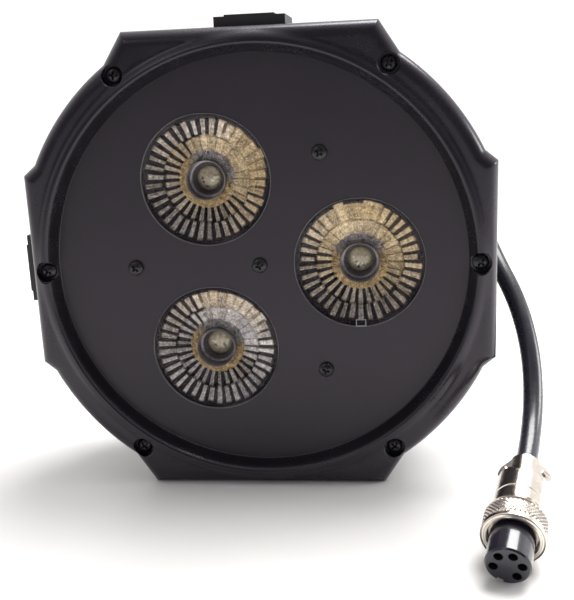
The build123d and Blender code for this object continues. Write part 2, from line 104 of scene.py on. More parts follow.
def finish(
    name,
    dark,
    light,
    rough=(0.4, 0.5),
    grain=900.0,
    bump=0.1,
    bump_size=0.00008,
    patch=60.0,
    scratch=0.0,
    **sockets,
):
    """Surface with colour that drifts between two tones, uneven gloss, and a fine grain as bump."""
    material, tree, shader, add = node_material(name)
    place = add("ShaderNodeTexCoord")
    drift = add("ShaderNodeTexNoise", Scale=patch, Detail=5.0, Roughness=0.6)
    tree.links.new(place.outputs["Object"], drift.inputs["Vector"])
    tone = add("ShaderNodeMix", data_type="RGBA")
    tone.inputs[6].default_value = (*dark, 1)
    tone.inputs[7].default_value = (*light, 1)
    spread = add("ShaderNodeMapRange", From_Min=0.35, From_Max=0.65)
    tree.links.new(drift.outputs["Fac"], spread.inputs["Value"])
    tree.links.new(spread.outputs["Result"], tone.inputs[0])
    tree.links.new(tone.outputs[2], shader.inputs["Base Color"])
    fine = add("ShaderNodeTexNoise", Scale=grain, Detail=3.0, Roughness=0.55)
    tree.links.new(place.outputs["Object"], fine.inputs["Vector"])
    gloss = add("ShaderNodeMapRange", From_Min=0.3, From_Max=0.7, To_Min=rough[0], To_Max=rough[1])
    blend = add("ShaderNodeMix", data_type="FLOAT")
    blend.inputs[0].default_value = 0.5
    tree.links.new(drift.outputs["Fac"], blend.inputs[2])
    tree.links.new(fine.outputs["Fac"], blend.inputs[3])
    tree.links.new(blend.outputs[0], gloss.inputs["Value"])
    tree.links.new(gloss.outputs["Result"], shader.inputs["Roughness"])
    relief = add("ShaderNodeBump", Strength=bump, Distance=bump_size)
    tree.links.new(fine.outputs["Fac"], relief.inputs["Height"])
    tree.links.new(relief.outputs["Normal"], shader.inputs["Normal"])
    if scratch:
        marks = add("ShaderNodeTexNoise", Scale=scratch, Detail=6.0, Roughness=0.7, Distortion=2.0)
        tree.links.new(place.outputs["Object"], marks.inputs["Vector"])
        deeper = add("ShaderNodeBump", Strength=bump * 0.6, Distance=bump_size * 2)
        tree.links.new(marks.outputs["Fac"], deeper.inputs["Height"])
        tree.links.new(relief.outputs["Normal"], deeper.inputs["Normal"])
        tree.links.new(deeper.outputs["Normal"], shader.inputs["Normal"])
    set_sockets(shader, sockets)
    return material


def tinted_finish(name, layer, rough=(0.15, 0.35), grain=700.0, bump=0.3, bump_size=0.0001, **sockets):
    """Surface whose colour comes from a painted layer of the mesh, broken up by a fine noise."""
    material, tree, shader, add = node_material(name)
    place = add("ShaderNodeTexCoord")
    paint = add("ShaderNodeVertexColor", layer_name=layer)
    fine = add("ShaderNodeTexNoise", Scale=grain, Detail=4.0, Roughness=0.65)
    tree.links.new(place.outputs["Object"], fine.inputs["Vector"])
    mottle = add("ShaderNodeMapRange", From_Min=0.3, From_Max=0.7, To_Min=0.65, To_Max=1.25)
    tree.links.new(fine.outputs["Fac"], mottle.inputs["Value"])
    shade = add("ShaderNodeVectorMath", operation="SCALE")
    tree.links.new(paint.outputs["Color"], shade.inputs[0])
    tree.links.new(mottle.outputs["Result"], shade.inputs["Scale"])
    tree.links.new(shade.outputs[0], shader.inputs["Base Color"])
    gloss = add("ShaderNodeMapRange", From_Min=0.3, From_Max=0.7, To_Min=rough[0], To_Max=rough[1])
    tree.links.new(fine.outputs["Fac"], gloss.inputs["Value"])
    tree.links.new(gloss.outputs["Result"], shader.inputs["Roughness"])
    relief = add("ShaderNodeBump", Strength=bump, Distance=bump_size)
    tree.links.new(fine.outputs["Fac"], relief.inputs["Height"])
    tree.links.new(relief.outputs["Normal"], shader.inputs["Normal"])
    set_sockets(shader, sockets)
    return material


def grey(value):
    return (value, value, value)


bezel_black = finish(
    "bezel_black", (0.0085, 0.0068, 0.0100), (0.0115, 0.0092, 0.0135), (0.20, 0.30), 1400.0, 0.08,
    **{"Specular Tint": (1.0, 0.94, 1.06, 1)},
)
housing_black = finish(
    "housing_black", (0.010, 0.0085, 0.0115), (0.014, 0.012, 0.0160), (0.38, 0.52), 1100.0, 0.35, 0.00012,
)
panel_black = finish(
    "panel_black", (0.0078, 0.0058, 0.0086), (0.0098, 0.0075, 0.0107), (0.34, 0.44), 1800.0, 0.15, 0.00006,
    patch=25.0, **{"Specular Tint": (1.0, 0.93, 1.06, 1)},
)
screw_black = finish(
    "screw_black", (0.007, 0.006, 0.009), (0.013, 0.011, 0.016), (0.22, 0.36), 1500.0, 0.2, 0.00008,
    scratch=3000.0,
)
holder_black = finish("holder_black", (0.01, 0.01, 0.01), (0.016, 0.016, 0.016), (0.5, 0.6))
emitter_cream = finish("emitter_cream", (0.62, 0.48, 0.24), (0.72, 0.6, 0.36), (0.3, 0.4), patch=900.0)
board_white = finish("board_white", (0.66, 0.66, 0.63), (0.74, 0.74, 0.72), (0.3, 0.4))
sink_metal = finish(
    "sink_metal", grey(0.5), grey(0.62), (0.28, 0.42), 1500.0, 0.3, Metallic=1.0, scratch=2500.0,
)
post_steel = finish("post_steel", grey(0.45), grey(0.56), (0.25, 0.35), Metallic=1.0)
brass = finish("brass", (0.55, 0.38, 0.13), (0.68, 0.50, 0.20), (0.2, 0.34), 1600.0, 0.2, Metallic=1.0)
gland_black = finish("gland_black", (0.012, 0.012, 0.013), (0.02, 0.02, 0.021), (0.4, 0.52), 1000.0, 0.3)
rubber_black = finish("rubber_black", (0.012, 0.012, 0.012), (0.02, 0.02, 0.02), (0.55, 0.7), 1300.0, 0.4)
sheath_black = finish(
    "sheath_black", (0.013, 0.012, 0.019), (0.018, 0.017, 0.026), (0.22, 0.34), 500.0, 0.25, 0.00010,
    patch=90.0, **{"Coat Weight": 0.3, "Coat Roughness": 0.12},
)
core_red = finish("core_red", (0.35, 0.03, 0.02), (0.45, 0.05, 0.04), (0.25, 0.35))
block_nylon = finish("block_nylon", (0.62, 0.60, 0.54), (0.7, 0.69, 0.64), (0.4, 0.5))
insert_black = finish(
    "insert_black", (0.012, 0.011, 0.019), (0.017, 0.016, 0.026), (0.16, 0.26), 700.0, 0.06,
    **{"Coat Weight": 0.5, "Coat Roughness": 0.06},
)
nickel = finish(
    "nickel", (0.66, 0.60, 0.54), (0.78, 0.72, 0.65), (0.12, 0.24), 1500.0, 0.10, 0.00006, patch=150.0,
    Metallic=1.0, scratch=2600.0,
)

node_finishes = {
    "front_panel": panel_black,
    "panel_gasket": rubber_black,
    "panel_posts": post_steel,
    "led_board": board_white,
    "heat_sink": sink_metal,
    "heat_sink_screws": post_steel,
    "rear_housing": housing_black,
    "bracket_insert_top": brass,
    "bracket_insert_side": brass,
    "gland_body": gland_black,
    "gland_lock_nut": gland_black,
    "gland_seal": rubber_black,
    "gland_cap": gland_black,
    "strain_relief": rubber_black,
    "cable_head_end": sheath_black,
    "terminal_block": block_nylon,
    "inner_cores": core_red,
    "cable_plug_end": sheath_black,
    "plug_insert": insert_black,
    "plug_sockets": brass,
    "plug_shell": nickel,
    "nut_washer": nickel,
    "plug_clamp_jaw": nickel,
    "plug_clamp_saddle": nickel,
    "plug_clamp_screws": nickel,
}
for where in ("right", "upper", "lower"):
    node_finishes[f"lens_holder_{where}"] = holder_black
    node_finishes[f"led_emitter_{where}"] = emitter_cream
for node, material in node_finishes.items():
    for slot in frame["nodes"][node].material_slots:
        slot.material = material


# ---- Mesh helpers -------------------------------------------------------------------------------------
def place_on_face(x, z, depth):
    """Point of the face, in metres, from distances in millimetres."""
    return (x * MM, (DEPTH_ZERO + depth) * MM, (AXIS_Z + z) * MM)


def plug_point(x, y, distance):
    """Point on the connector, in metres, from millimetres to its side, upwards and behind its tip."""
    return PLUG_TIP + PLUG_SIDE * (x * MM) + PLUG_UP * (y * MM) + PLUG_AXIS * (distance * MM)


def make_piece(name, points, faces, material, body=HEAD, sharp=35.0):
    """Mesh piece in the shared frame, from its points and faces."""
    mesh = bpy.data.meshes.new(name)
    mesh.from_pydata([tuple(point) for point in points], [], faces)
    mesh.validate()
    return dress(name, mesh, material, body, sharp)


def face_outward(mesh):
    """Turn all the faces of the mesh outwards."""
    shape = bmesh.new()
    shape.from_mesh(mesh)
    bmesh.ops.recalc_face_normals(shape, faces=shape.faces)
    shape.to_mesh(mesh)
    shape.free()


def dress(name, mesh, material, body=HEAD, sharp=35.0):
    """Piece with its material, body and slot, smooth except across edges sharper than the angle."""
    piece = bpy.data.objects.new(name, mesh)
    bpy.context.scene.collection.objects.link(piece)
    mesh.materials.clear()
    mesh.materials.append(material)
    face_outward(mesh)
    mesh.shade_smooth()
    mesh.set_sharp_from_angle(angle=math.radians(sharp))
    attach(piece, body)
    return piece


def ring_faces(turns, rows, closed_profile=False):
    """Quads of a grid that closes on itself along the first index, and along the second if asked."""
    faces = []
    last = rows if closed_profile else rows - 1
    for turn in range(turns):
        following = (turn + 1) % turns
        for row in range(last):
            beside = (row + 1) % rows
            faces.append(
                (turn * rows + row, following * rows + row, following * rows + beside, turn * rows + beside)
            )
    return faces


def cut(piece_mesh, cutter_mesh):
    """The first mesh with the second taken away."""
    scene = bpy.context.scene.collection
    base = bpy.data.objects.new("cut_base", piece_mesh)
    tool = bpy.data.objects.new("cut_tool", cutter_mesh)
    scene.objects.link(base)
    scene.objects.link(tool)
    step = base.modifiers.new("cut", "BOOLEAN")
    step.operation = "DIFFERENCE"
    step.solver = "EXACT"
    step.object = tool
    bpy.context.view_layer.update()
    graph = bpy.context.evaluated_depsgraph_get()
    result = bpy.data.meshes.new_from_object(base.evaluated_get(graph))
    bpy.data.objects.remove(base)
    bpy.data.objects.remove(tool)
    return result


def turned_mesh(name, profile, to_world, steps=48):
    """Closed solid of revolution. The profile, as (radius, distance), ends on the axis or is a loop."""
    on_axis = profile[0][0] == 0 and profile[-1][0] == 0
    ring = profile[1:-1] if on_axis else profile
    rows = len(ring)
    points = []
    for step in range(steps):
        angle = 2 * math.pi * step / steps
        for radius, distance in ring:
            points.append(to_world(radius * math.cos(angle), radius * math.sin(angle), distance))
    faces = ring_faces(steps, rows, closed_profile=not on_axis)
    if on_axis:
        first, last = len(points), len(points) + 1
        points.append(to_world(0, 0, profile[0][1]))
        points.append(to_world(0, 0, profile[-1][1]))
        for step in range(steps):
            following = (step + 1) % steps
            faces.append((first, following * rows, step * rows))
            faces.append((last, step * rows + rows - 1, following * rows + rows - 1))
    mesh = bpy.data.meshes.new(name)
    mesh.from_pydata([tuple(point) for point in points], [], faces)
    return mesh


def joined(name, meshes):
    """One mesh from several, with nothing merged."""
    whole = bmesh.new()
    for mesh in meshes:
        whole.from_mesh(mesh)
        bpy.data.meshes.remove(mesh)
    bmesh.ops.recalc_face_normals(whole, faces=whole.faces)
    result = bpy.data.meshes.new(name)
    whole.to_mesh(result)
    whole.free()
    return result


# ---- Free cable ---------------------------------------------------------------------------------------
CABLE_DIAMETER = 0.0067
PLUG_LENGTH, LAST_RUN = 0.0440, 0.0140
cable_entry = PLUG_TIP + PLUG_AXIS * PLUG_LENGTH
cable_route = [
    (0.0060, 0.0740, 0.0785),
    (0.0060, 0.0995, 0.0785),
    (0.0215, 0.1195, 0.0810),
    (0.0450, 0.1275, 0.0840),
    (0.0685, 0.1195, 0.0870),
    (0.0835, 0.0995, 0.0890),
    (0.0825, 0.0750, 0.0895),
    (0.0800, 0.0540, 0.0880),
    (0.0793, 0.0360, 0.0830),
    (0.0825, 0.0200, 0.0730),
    (0.0895, 0.0065, 0.0590),
    (0.0925, -0.0060, 0.0445),
    (0.0922, -0.0165, 0.0310),
    tuple(cable_entry + PLUG_AXIS * LAST_RUN),
    tuple(cable_entry),
]
cable_curve = bpy.data.curves.new("cable_sheath", "CURVE")
cable_curve.dimensions = "3D"
cable_curve.bevel_depth = CABLE_DIAMETER / 2
cable_curve.bevel_resolution = 8
cable_curve.resolution_u = 24
cable_spline = cable_curve.splines.new("NURBS")
cable_spline.points.add(len(cable_route) - 1)
for point, place in zip(cable_spline.points, cable_route):
    point.co = (*place, 1)
cable_spline.order_u = 3
cable_spline.use_endpoint_u = True
cable_piece = bpy.data.objects.new("cable_sheath", cable_curve)
bpy.context.scene.collection.objects.link(cable_piece)
cable_curve.materials.append(sheath_black)
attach(cable_piece, HEAD)
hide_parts("cable")

# ---- Bezel --------------------------------------------------------------------------------------------
FLAT_TOP, FLAT_SIDE, RIM_RADIUS = 78.5, 79.4, 83.6
TOP_EAR_HALF, SIDE_EAR_HALF = 41.7, 33.1
TOP_FOOT, SIDE_FOOT = math.radians(54.7), math.radians(25.9)
OPENING, PANEL_DEPTH, BAND_DEPTH, BEZEL_BACK = 70.6, 6.3, 1.2, 9.0
EDGE_ROUND = 4.9
FOOT_STEPS = 24
RIDGE_LIMIT, TIGHT_START = 75.2, 75.35  # where the rim is close: the ridge's end and the edge's start
SPIGOT_RADIUS = 72.3
quarter = [(FLAT_SIDE, 0.0), (FLAT_SIDE, SIDE_EAR_HALF)]
for step in range(FOOT_STEPS + 1):
    angle = SIDE_FOOT + (TOP_FOOT - SIDE_FOOT) * step / FOOT_STEPS
    quarter.append((RIM_RADIUS * math.cos(angle), RIM_RADIUS * math.sin(angle)))
quarter += [(TOP_EAR_HALF, FLAT_TOP), (0.0, FLAT_TOP)]
half = quarter + [(-x, z) for x, z in reversed(quarter[:-1])]
outline = np.array(half + [(x, -z) for x, z in reversed(half[1:-1])])
outline_next = np.roll(outline, -1, axis=0)


def outline_radius(angle):
    """Distance from the axis to the rim's outline along a direction."""
    ray = np.array((math.cos(angle), math.sin(angle)))
    side = outline_next - outline
    across = ray[0] * side[:, 1] - ray[1] * side[:, 0]
    across = np.where(abs(across) < 1e-9, 1e-9, across)
    reach = (outline[:, 0] * side[:, 1] - outline[:, 1] * side[:, 0]) / across
    along = (outline[:, 0] * ray[1] - outline[:, 1] * ray[0]) / across
    hits = reach[(along >= -1e-6) & (along <= 1 + 1e-6) & (reach > 0)]
    return float(hits.min())


def outline_distance(points):
    """Distance of each point to the rim's outline."""
    side = outline_next - outline
    length2 = (side**2).sum(axis=1)
    offset = points[:, None, :] - outline[None, :, :]
    along = np.clip((offset * side).sum(axis=2) / length2, 0, 1)
    gap = offset - along[:, :, None] * side[None, :, :]
    return np.sqrt((gap**2).sum(axis=2)).min(axis=1)


CREST, RIDGE_ROUND = 73.3, 2.6
ridge_radii = [70.2, 70.35, 70.55, 70.8, 71.05, 71.3, 71.55, 71.8, 72.05, 72.35, 72.7, 73.0, CREST]
ridge_depths = [6.29, 6.16, 5.8, 5.1, 4.3, 3.5, 2.7, 1.95, 1.4, 0.85, 0.38, 0.1, 0.0]
for radius in (73.9, 74.5, 75.0, 75.4, 75.8, 76.2):
    ridge_radii.append(radius)
    ridge_depths.append((radius - CREST) ** 2 / (2 * RIDGE_ROUND))
corner_angles = [math.atan2(z, x) % (2 * math.pi) for x, z in outline]
bezel_angles = sorted(
    set(round(math.radians(step * 0.6), 6) for step in range(600))
    | set(round(angle, 6) for angle in corner_angles)
)
kept_angles = []
for angle in bezel_angles:
    close = kept_angles and angle - kept_angles[-1] < math.radians(0.16)
    special = any(abs(angle - corner) < 1e-5 for corner in corner_angles)
    if close and special:
        kept_angles[-1] = angle
    elif not close:
        kept_angles.append(angle)
band_parts = [0.12, 0.3, 0.5, 0.7, 0.86]
edge_drops = [1.0, 0.8, 0.62, 0.46, 0.33, 0.22, 0.13, 0.06, 0.015, 0.0]
bezel_points = []
for angle in kept_angles:
    reach = outline_radius(angle)
    inner = ridge_radii[:-1]
    edge_start = max(reach - EDGE_ROUND, inner[-1] + 0.3)
    if reach - EDGE_ROUND < inner[-1]:
        inner = [radius for radius in ridge_radii if radius < RIDGE_LIMIT]
        edge_start = TIGHT_START
    gap = edge_start - inner[-1]
    radii = list(inner) + [inner[-1] + gap * part for part in band_parts]
    while len(radii) < len(ridge_radii) - 1 + len(band_parts):
        radii.insert(-1, (radii[-1] + radii[-2]) / 2)
    radii.sort()
    radii += [reach - (reach - edge_start) * drop for drop in edge_drops]
    bezel_points.append([(radius, angle) for radius in radii])
grid = np.array(bezel_points)
rows = grid.shape[1]
flat_xz = np.stack((grid[..., 0] * np.cos(grid[..., 1]), grid[..., 0] * np.sin(grid[..., 1])), axis=-1)
gap_to_edge = np.concatenate([outline_distance(line) for line in flat_xz]).reshape(grid.shape[:2])
inside = np.clip(EDGE_ROUND - gap_to_edge, 0, EDGE_ROUND)
band = BAND_DEPTH + EDGE_ROUND - np.sqrt(EDGE_ROUND**2 - inside**2)
ridge = np.interp(grid[..., 0], ridge_radii + [90.0], ridge_depths + [30.0])
softness = 0.9
meeting = np.clip(0.5 + 0.5 * (band - ridge) / softness, 0, 1)
surface = band * (1 - meeting) + ridge * meeting - softness * meeting * (1 - meeting)
surface = np.where(grid[..., 0] < CREST, ridge, np.maximum(surface, 0))
bezel_mesh_points = []
for line, depths in zip(flat_xz, surface):
    for (x, z), depth in zip(line, depths):
        bezel_mesh_points.append(place_on_face(x, z, depth))
    rim_x, rim_z = line[-1]
    direction = np.array(line[0]) / OPENING
    for depth in (7.4, 8.7):
        bezel_mesh_points.append(place_on_face(rim_x, rim_z, depth))
    pulled = line[-1] - direction * 0.3
    bezel_mesh_points.append(place_on_face(pulled[0], pulled[1], BEZEL_BACK))
    for depth in (BEZEL_BACK, PANEL_DEPTH):
        spigot = direction * SPIGOT_RADIUS
        bezel_mesh_points.append(place_on_face(spigot[0], spigot[1], depth))
bezel_raw = bpy.data.meshes.new("bezel_raw")
bezel_raw.from_pydata(
    bezel_mesh_points, [], ring_faces(len(kept_angles), rows + 5, closed_profile=True)
)
face_outward(bezel_raw)

POCKET_FLOOR, POCKET_RADIUS = 5.2, 3.5
corner_screws = [(44.8 * sx, 64.8 * sz) for sx in (1, -1) for sz in (1, -1)]
bezel_screw_places = corner_screws + [(73.9, 0.0), (-73.9, 0.0)]
pocket_profile = [
    (0, -2.0),
    (POCKET_RADIUS + 0.3, -2.0),
    (POCKET_RADIUS + 0.3, BAND_DEPTH + 0.05),
    (POCKET_RADIUS, BAND_DEPTH + 0.4),
    (POCKET_RADIUS, POCKET_FLOOR),
    (0, POCKET_FLOOR),
]
cutters = []
for index, (x, z) in enumerate(bezel_screw_places):
    cutters.append(
        turned_mesh(
            f"pocket_{index}",
            pocket_profile,
            lambda u, v, depth, x=x, z=z: place_on_face(x + u, z + v, depth),
            steps=56,
        )
    )
bezel_mesh = cut(bezel_raw, joined("pockets", cutters))
bezel = dress("bezel_ring", bezel_mesh, bezel_black, sharp=38.0)
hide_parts("front_bezel")


# ---- Screws -------------------------------------------------------------------------------------------
SHANK_RADIUS = 1.45
POST_CIRCLE = 43.2


def cross_head(name, to_world, radius, height, seat, shank, turn):
    """Domed screw head with a tapered cross recess, and its shank."""
    top = seat - height
    profile = [(0, top)]
    for part in (0.12, 0.3, 0.5, 0.68, 0.82, 0.92, 0.98, 1.0):
        drop = 1 - math.sqrt(1 - part**2) if part < 1 else 1.0
        profile.append((radius * part, top + height * 0.62 * drop))
    profile += [(radius, seat), (SHANK_RADIUS, seat), (SHANK_RADIUS, shank), (0, shank)]
    body = turned_mesh(name, profile, to_world, steps=40)
    blades = []
    reach, half_width, bottom = radius * 0.62, 0.36, top + height * 0.72
    for blade in range(2):
        angle = turn + blade * math.pi / 2
        along = (math.cos(angle), math.sin(angle))
        across = (-along[1], along[0])
        corners = []
        mouth = (top - 0.5, reach * 1.12, half_width * 1.15)
        for depth, length, width in (mouth, (bottom, reach * 0.4, 0.2)):
            for end, side in ((1, 1), (-1, 1), (-1, -1), (1, -1)):
                corners.append(
                    to_world(
                        along[0] * length * end + across[0] * width * side,
                        along[1] * length * end + across[1] * width * side,
                        depth,
                    )
                )
        mesh = bpy.data.meshes.new(f"{name}_blade{blade}")
        sides = [(0, 1, 2, 3), (7, 6, 5, 4)] + [(k, 4 + k, 4 + (k + 1) % 4, (k + 1) % 4) for k in range(4)]
        mesh.from_pydata([tuple(corner) for corner in corners], [], sides)
        face_outward(mesh)
        blades.append(mesh)
    face_outward(body)
    for blade_mesh in blades:
        body = cut(body, blade_mesh)
    return body


turns = random.Random(11)
post_places = [(0.0, 0.0)]
for angle in (180, 60, 300):
    turned = math.radians(angle)
    post_places.append((POST_CIRCLE * math.cos(turned), POST_CIRCLE * math.sin(turned)))


def screw_set(name, places, radius, height, seat, shank, node):
    """One piece of cross-head screws at the places, that stands for a CAD node."""
    heads = []
    for index, (x, z) in enumerate(places):
        heads.append(
            cross_head(
                f"{name}_{index}",
                lambda u, v, depth, x=x, z=z: place_on_face(x + u, z + v, depth),
                radius,
                height,
                seat,
                shank,
                turns.uniform(0, math.pi / 2),
            )
        )
    piece = dress(name, joined(name, heads), screw_black, sharp=30.0)
    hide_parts(node)


screw_set("bezel_screw_heads", bezel_screw_places, 2.75, 2.0, POCKET_FLOOR, 15.9, "bezel_screws")
screw_set("panel_screw_heads", post_places, 2.6, 1.8, PANEL_DEPTH, 14.9, "panel_screws")

# ---- Lenses -------------------------------------------------------------------------------------------
LENS_FRONT, LENS_CIRCLE = 6.1, 34.0
WELL_RADIUS, EMITTER_RADIUS = 6.75, 4.2
SPECKLED = (6.8, 9.8)  # radii of the speckled zone round the well
OUTER_RIBS, INNER_RIBS = 38, 30
STEPS = 720
# GOLD is a painted reflection of the emitter's yellow phosphor in the optic; it colours the ribs, the
# merged ground and the speckled zone.
GOLD = np.array((0.74, 0.54, 0.29))
SILVER = np.array((0.68, 0.63, 0.62))
# GAP is painted shade: the near black in the grooves between the ribs.
GAP = np.array((0.016, 0.011, 0.015))
facet_finish = tinted_finish(
    "lens_facets", "tint", (0.12, 0.30), 900.0, 0.35, 0.00012, Metallic=0.30, **{"Specular IOR Level": 0.3}
)
well_finish = tinted_finish(
    "lens_well", "tint", (0.08, 0.2), 1200.0, 0.1, 0.00005, Metallic=0.1, **{"Coat Weight": 0.6}
)
clear_front = finish(
    "lens_front_clear", (0.10, 0.10, 0.10), (0.12, 0.12, 0.12), (0.03, 0.06), 300.0, 0.02, 0.00002,
    Alpha=0.03, **{"Specular IOR Level": 0.3},
)
# The rim's light grey is a painted highlight: a bright line round each lens's clear front.
rim_highlight_grey = finish(
    "lens_rim_highlight_grey", (0.26, 0.25, 0.27), (0.36, 0.35, 0.37), (0.06, 0.14), 500.0, 0.05,
    Alpha=0.8, **{"Specular IOR Level": 0.8},
)
for see_through in (clear_front, rim_highlight_grey):
    see_through.surface_render_method = "BLENDED"


def paint(mesh, colours):
    """Colour layer of a mesh from one colour for each vertex."""
    layer = mesh.color_attributes.new("tint", "FLOAT_COLOR", "POINT")
    layer.data.foreach_set("color", np.concatenate([colours, np.ones((len(colours), 1))], axis=1).ravel())


def smooth_step(low, high, value):
    """0 below the first value, 1 above the second, and a smooth rise between them."""
    part = np.clip((value - low) / (high - low), 0, 1)
    return part * part * (3 - 2 * part)


def around(values, theta):
    """Smooth values round a circle from one for each 45 degrees, counted from +X towards +Z."""
    return np.interp(theta, np.radians(np.arange(9) * 45), list(values) + [values[0]])


def rib_row(theta, count, draw, zones):
    """Painted light, gold share, merging, shape and a painted edge highlight of one ring of radial ribs,
    for each direction.
    """
    light, gold, merge = (around(values, theta) for values in zones)
    turn = theta / (2 * math.pi) * count
    index = np.floor(turn).astype(int) % count
    across = abs((turn % 1) - 0.5) * 2
    wide = 0.50 + 0.36 * merge + draw.uniform(-0.08, 0.08, count)[index]
    shape = 1 - smooth_step(wide - 0.14, wide + 0.10, across)
    # Painted highlight: a bright line along one edge of each rib, where the ribs stand apart.
    painted_edge_highlight = np.exp(-(((across - wide + 0.12) / 0.09) ** 2)) * (1 - merge)
    light = light * draw.uniform(0.6, 1.3, count)[index]
    return light, gold, merge, shape, painted_edge_highlight


def facets(where, to_world, draw, outer_zones, inner_zones, grey_angle):
    """Optic seen through its clear front: two rings of radial ribs round a speckled zone."""
    radii = np.concatenate(
        [[21.9, 21.5, 21.2], np.linspace(20.9, 15.2, 15), [14.9, 14.7], np.linspace(14.4, 9.9, 12)]
        + [[9.6, 9.3, 9.0, 8.6, 8.2, 7.8, 7.4, 7.1, 6.9, WELL_RADIUS]]
    )
    theta = np.arange(STEPS) / STEPS * 2 * math.pi
    base_radii = [WELL_RADIUS, 9.5, 14.5, 14.9, 20.6, 21.2, 21.9]
    base = np.interp(radii, base_radii, [4.3, 3.9, 3.1, 2.2, 1.1, 0.9, 0.5])
    in_speckle = (radii < SPECKLED[1]) & (radii > SPECKLED[0])
    outer = rib_row(theta, OUTER_RIBS, draw, outer_zones)
    inner = rib_row(theta, INNER_RIBS, draw, inner_zones)
    outer_ends = np.stack((draw.normal(15.0, 0.3, OUTER_RIBS), draw.normal(20.1, 0.35, OUTER_RIBS)))
    inner_ends = np.stack((draw.normal(9.7, 0.25, INNER_RIBS), draw.normal(14.5, 0.3, INNER_RIBS)))
    greyness = 0.5 + 0.5 * np.cos(theta - math.radians(grey_angle))
    cloud = np.ones(len(radii))
    points, colours = [], []
    for step in range(STEPS):
        cloud = np.clip(cloud + draw.normal(0, 0.10, len(radii)) + 0.06 * (1 - cloud), 0.55, 1.4)
        grain = draw.uniform(0.6, 1.4, len(radii)) * cloud
        # Painted glints: rare bright points added to the ribs and the speckled zone.
        painted_glint = draw.random(len(radii)) ** 11 * 1.6
        depth = base.copy()
        merged_ground = smooth_step(0.45, 0.85, outer[2][step]) * (radii < 20.2) * 0.85
        colour = np.outer(grain, GAP) * (1 - merged_ground[:, None])
        colour = colour + np.outer(grain * merged_ground, GOLD * 0.75)
        for (light, gold, merge, shape, painted_edge_highlight), ends_of, count in (
            (outer, outer_ends, OUTER_RIBS),
            (inner, inner_ends, INNER_RIBS),
        ):
            merging, body = merge[step], shape[step]
            low, high = ends_of[:, int(step / STEPS * count)]
            low, high = low - 0.5 * merging, high + 0.3 * merging
            inside = smooth_step(low - 0.25, low + 0.25, radii)
            inside = inside * (1 - smooth_step(high - 0.3, high + 0.3, radii))
            hue = SILVER * (1 - gold[step]) + GOLD * gold[step]
            bare = body * (1 - merging * 0.15) + merging * 0.15
            if merging >= 0.5:
                bare = np.where(abs(radii - 18.4) < 1.7, bare, np.maximum(bare, 0.9))
            cover = inside * bare
            # The rib colour is painted light: brightness by direction, the painted edge highlight and
            # painted glints, on its hue.
            tone = np.outer(light[step] * grain * 0.85 + painted_edge_highlight[step] * 0.35 + painted_glint, hue)
            colour = colour * (1 - cover[..., None]) + tone * cover[..., None]
            hollow = 1.1 * (1 - body) * (1 - 0.9 * merging)
            depth += inside * (hollow + draw.normal(0, 0.05, len(radii)))
        mix = smooth_step(0.55, 0.85, greyness[step])
        ground = (GOLD * (1 - mix) + SILVER * 0.62 * mix) * 0.85
        speckles = np.outer(grain * 0.9 + painted_glint, ground)
        colour = np.where(in_speckle[:, None], speckles, colour)
        depth = depth + draw.normal(0, 0.10, len(radii)) * in_speckle
        across, upwards = math.cos(theta[step]), math.sin(theta[step])
        for radius, distance in zip(radii, depth):
            points.append(to_world(radius * across, radius * upwards, distance))
        colours.append(np.clip(colour, 0.004, 0.95))
    name = f"lens_{where}_facets"
    faces = ring_faces(STEPS, len(radii))
    optic = make_piece(name, points, faces, facet_finish, sharp=60.0)
    paint(optic.data, np.concatenate(colours))
    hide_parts(f"lens_{where}")


def well(where, to_world, draw):
    """Central well with the emitter at its bottom. Its wall is a row of (radius, distance, tone)."""
    # The wall's tones paint a bright line on the well's rim (6.62 mm) and a highlight on its ledge (6.2 to
    # 5.75 mm), and paint the wall lighter than its own shade; inside the emitter's radius they are the
    # emitter's own cream.
    wall = [(WELL_RADIUS, 4.3, 0.05), (6.72, 0.35, 0.28), (6.62, 0.15, 0.38), (6.5, 0.35, 0.20)]
    wall += [(6.4, 2.8, 0.13), (6.3, 5.0, 0.12), (6.2, 5.4, 0.36), (5.75, 5.5, 0.30), (5.5, 5.8, 0.16)]
    wall += [(5.3, 7.4, 0.15), (5.0, 8.3, 0.12), (4.5, 8.7, 0.08), (4.1, 8.6, 0.26), (3.95, 8.3, 0.42)]
    wall += [(3.5, 8.1, 0.46), (3.0, 7.95, 0.5), (2.4, 7.85, 0.5), (1.7, 7.75, 0.48), (1.0, 7.7, 0.5)]
    wall += [(0.3, 7.68, 0.48)]
    emitter_hue, wall_hue = np.array((1.25, 1.08, 0.76)), np.array((1.0, 0.90, 0.98))
    steps, spot_size = 96, 0.5
    spots = [(draw.uniform(0, 2 * math.pi), draw.uniform(1.0, 3.4)) for _ in range(7)]
    points, colours = [], []
    for step in range(steps):
        angle = 2 * math.pi * step / steps
        for radius, distance, tone in wall:
            x, z = radius * math.cos(angle), radius * math.sin(angle)
            points.append(to_world(x, z, distance))
            in_emitter = radius < EMITTER_RADIUS
            hue = emitter_hue if in_emitter else wall_hue
            shade = tone * (draw.uniform(0.8, 1.15) if in_emitter else 1.0)
            for number, (spot_turn, spot_radius) in enumerate(spots):
                gap = math.hypot(
                    x - spot_radius * math.cos(spot_turn), z - spot_radius * math.sin(spot_turn)
                )
                if in_emitter and gap < spot_size:
                    shade = 0.05 if number % 2 else 0.85
            colours.append(np.clip(hue * shade, 0.002, 0.95))
    rows_here = len(wall)
    faces = ring_faces(steps, rows_here)
    faces.append(tuple(step * rows_here + rows_here - 1 for step in range(steps)))
    piece = make_piece(f"lens_{where}_well", points, faces, well_finish, sharp=50.0)
    paint(piece.data, np.array(colours))


